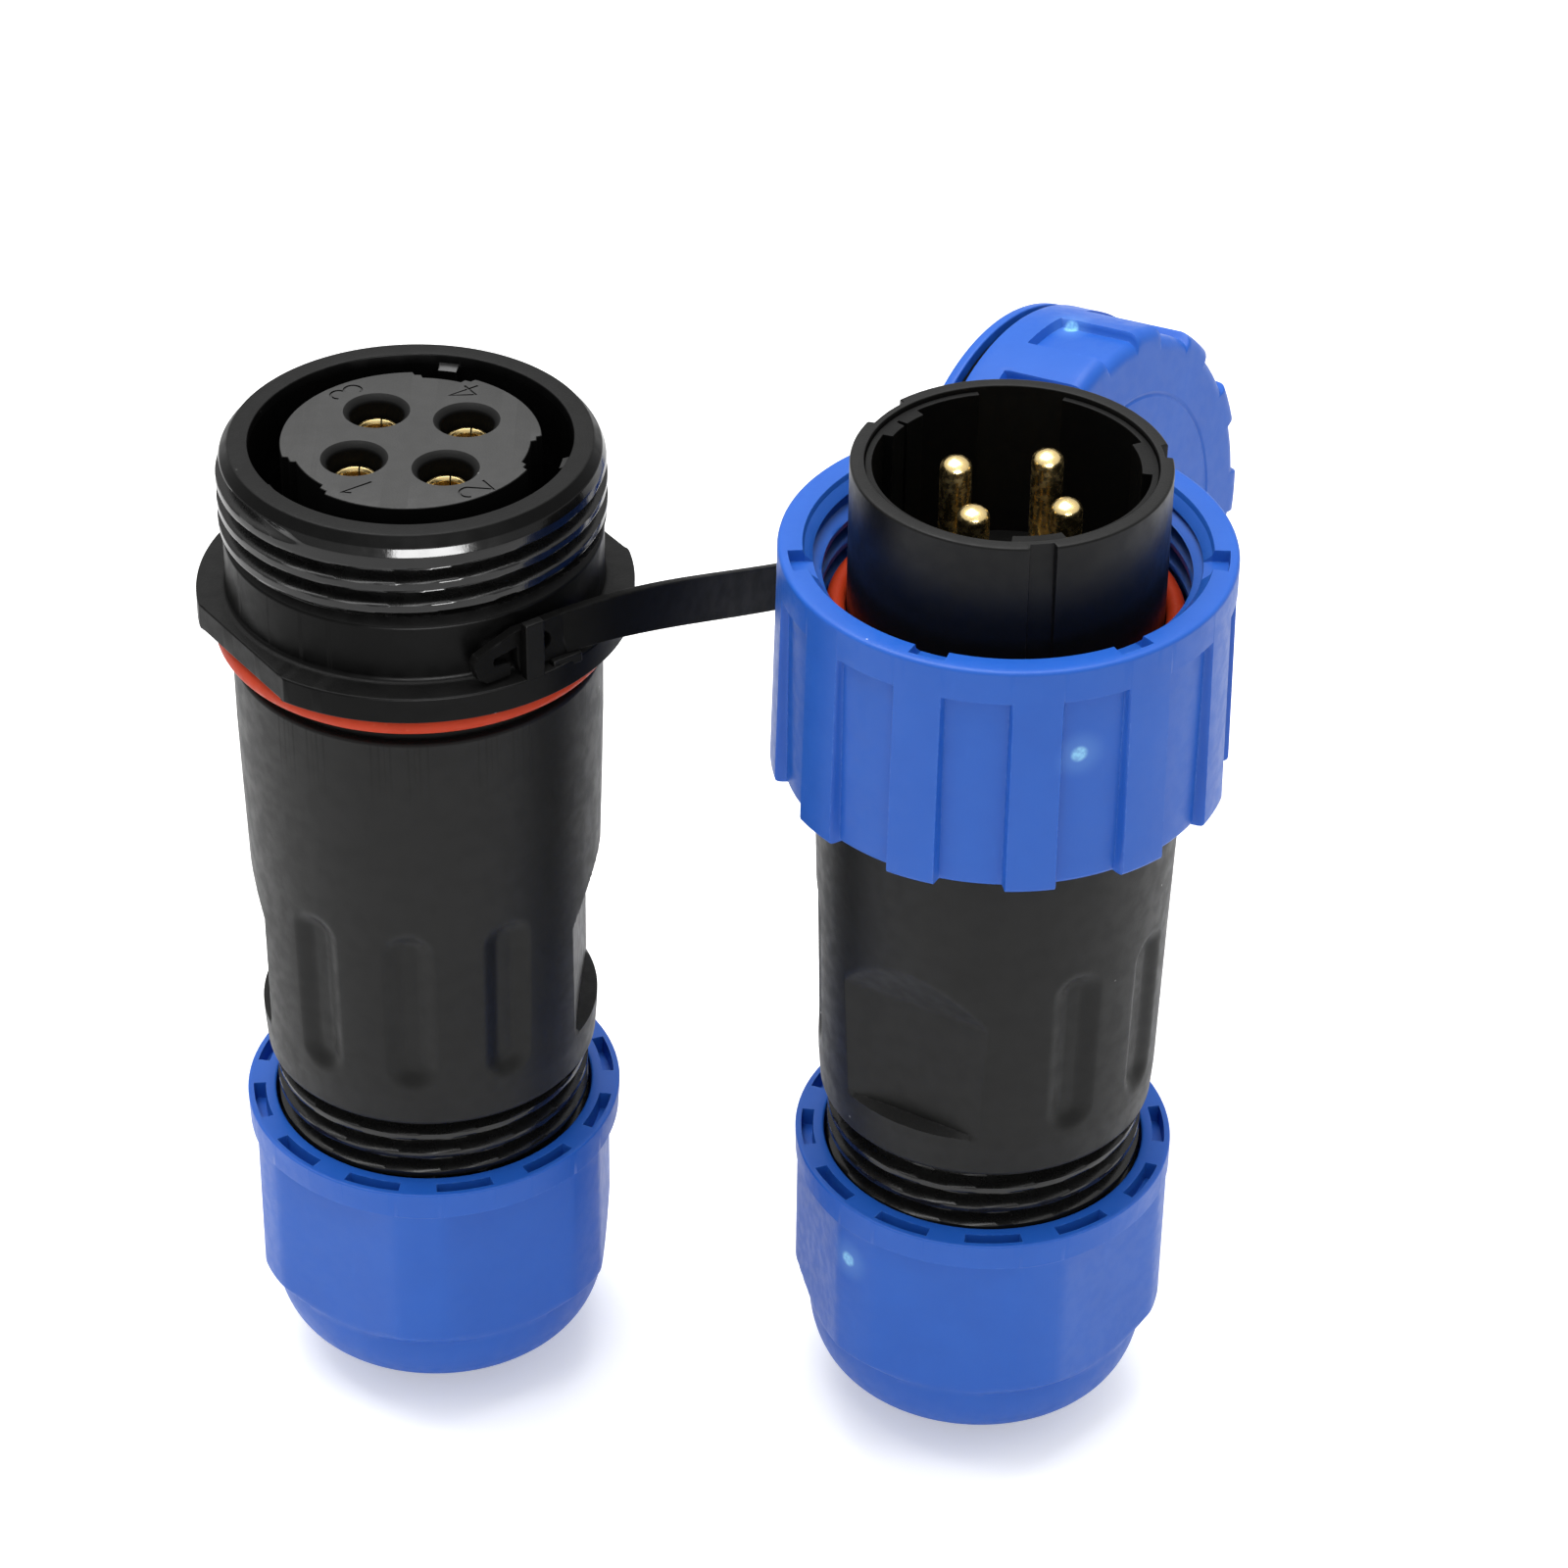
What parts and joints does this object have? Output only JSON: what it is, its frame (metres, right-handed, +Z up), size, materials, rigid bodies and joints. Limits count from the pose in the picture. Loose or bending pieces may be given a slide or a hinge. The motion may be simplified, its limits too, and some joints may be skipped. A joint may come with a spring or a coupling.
{
  "type": "cable connector",
  "caption": "Waterproof round cable connector: keyed plug with coupling nut, threaded socket, cable glands and a strap-tied screw cap.",
  "frame": {"origin": "on the socket's axis, in the plane that both gland nuts stand on", "axes": "+Z up along both connectors' axes, towards their mating faces; +X from the socket's axis to the plug's axis"},
  "size_m": [0.0837, 0.0896, 0.0935],
  "materials": {
    "black_nylon": "satin moulded nylon",
    "insert_nylon": "matte moulded nylon",
    "strap_nylon": "satin soft nylon",
    "blue_nylon": "satin moulded nylon",
    "red_silicone": "smooth silicone",
    "seal_rubber": "matte",
    "claw_nylon": "matte",
    "gold_plating": "polished gold plating"
  },
  "bodies": {
    "socket": {"socket_shell": "black_nylon", "socket_insert": "insert_nylon", "socket_contacts": "gold_plating", "socket_insert_seal": "red_silicone", "socket_lock_ring": "insert_nylon", "socket_flange_seal": "red_silicone", "socket_body": "black_nylon", "socket_cable_seal": "seal_rubber"},
    "socket_claw": {"socket_clamp_claw": "claw_nylon"},
    "socket_nut": {"socket_gland_nut": "blue_nylon"},
    "plug": {"plug_shell": "black_nylon", "plug_insert": "insert_nylon", "plug_pins": "gold_plating", "plug_insert_seal": "red_silicone", "plug_lock_ring": "insert_nylon", "plug_face_seal": "red_silicone", "plug_body_seal": "red_silicone", "plug_body": "black_nylon", "plug_cable_seal": "seal_rubber"},
    "plug_claw": {"plug_clamp_claw": "claw_nylon"},
    "plug_nut": {"plug_gland_nut": "blue_nylon"},
    "coupling": {"coupling_nut": "blue_nylon"},
    "strap": {"tether": "strap_nylon"},
    "cap": {"cap_shell": "blue_nylon", "cap_gasket": "red_silicone"}
  },
  "joints": [
    {"name": "socket_claw_slide", "type": "slide", "parent": "socket", "child": "socket_claw", "axis": [0, 0, 1], "range_m": [0, 0.0055], "deforming": ["socket_cable_seal"]},
    {"name": "socket_nut_turn", "type": "hinge", "parent": "socket_claw", "child": "socket_nut", "pos_m": [0, 0, 0.018], "axis": [0, 0, 1], "range_deg": [0, 972]},
    {"name": "plug_lift", "type": "slide", "parent": "socket", "child": "plug", "axis": [0, 0, 1], "range_m": [0, 0.1]},
    {"name": "plug_claw_slide", "type": "slide", "parent": "plug", "child": "plug_claw", "axis": [0, 0, 1], "range_m": [0, 0.0055], "deforming": ["plug_cable_seal"]},
    {"name": "plug_nut_turn", "type": "hinge", "parent": "plug_claw", "child": "plug_nut", "pos_m": [0.0475, 0, 0.018], "axis": [0, 0, 1], "range_deg": [0, 972]},
    {"name": "coupling_nut_turn", "type": "hinge", "parent": "plug", "child": "coupling", "pos_m": [0.0475, 0, 0.0756], "axis": [0, 0, 1], "continuous": true},
    {"name": "strap_swing", "type": "hinge", "parent": "socket", "child": "strap", "pos_m": [0.01103, -0.01187, 0.08075], "axis": [0, 0, 1], "range_deg": [-4, 4], "stiffness_Nm_per_rad": 0.02},
    {"name": "cap_turn", "type": "hinge", "parent": "strap", "child": "cap", "pos_m": [0.04533, 0.0551, 0.05572], "axis": [0.8701, -0.4744, 0.134], "continuous": true}
  ],
  "couplings": [
    {"joint": "socket_claw_slide", "follows": "socket_nut_turn", "m_per_rad": 0.00031831},
    {"joint": "plug_claw_slide", "follows": "plug_nut_turn", "m_per_rad": 0.00031831}
  ]
}
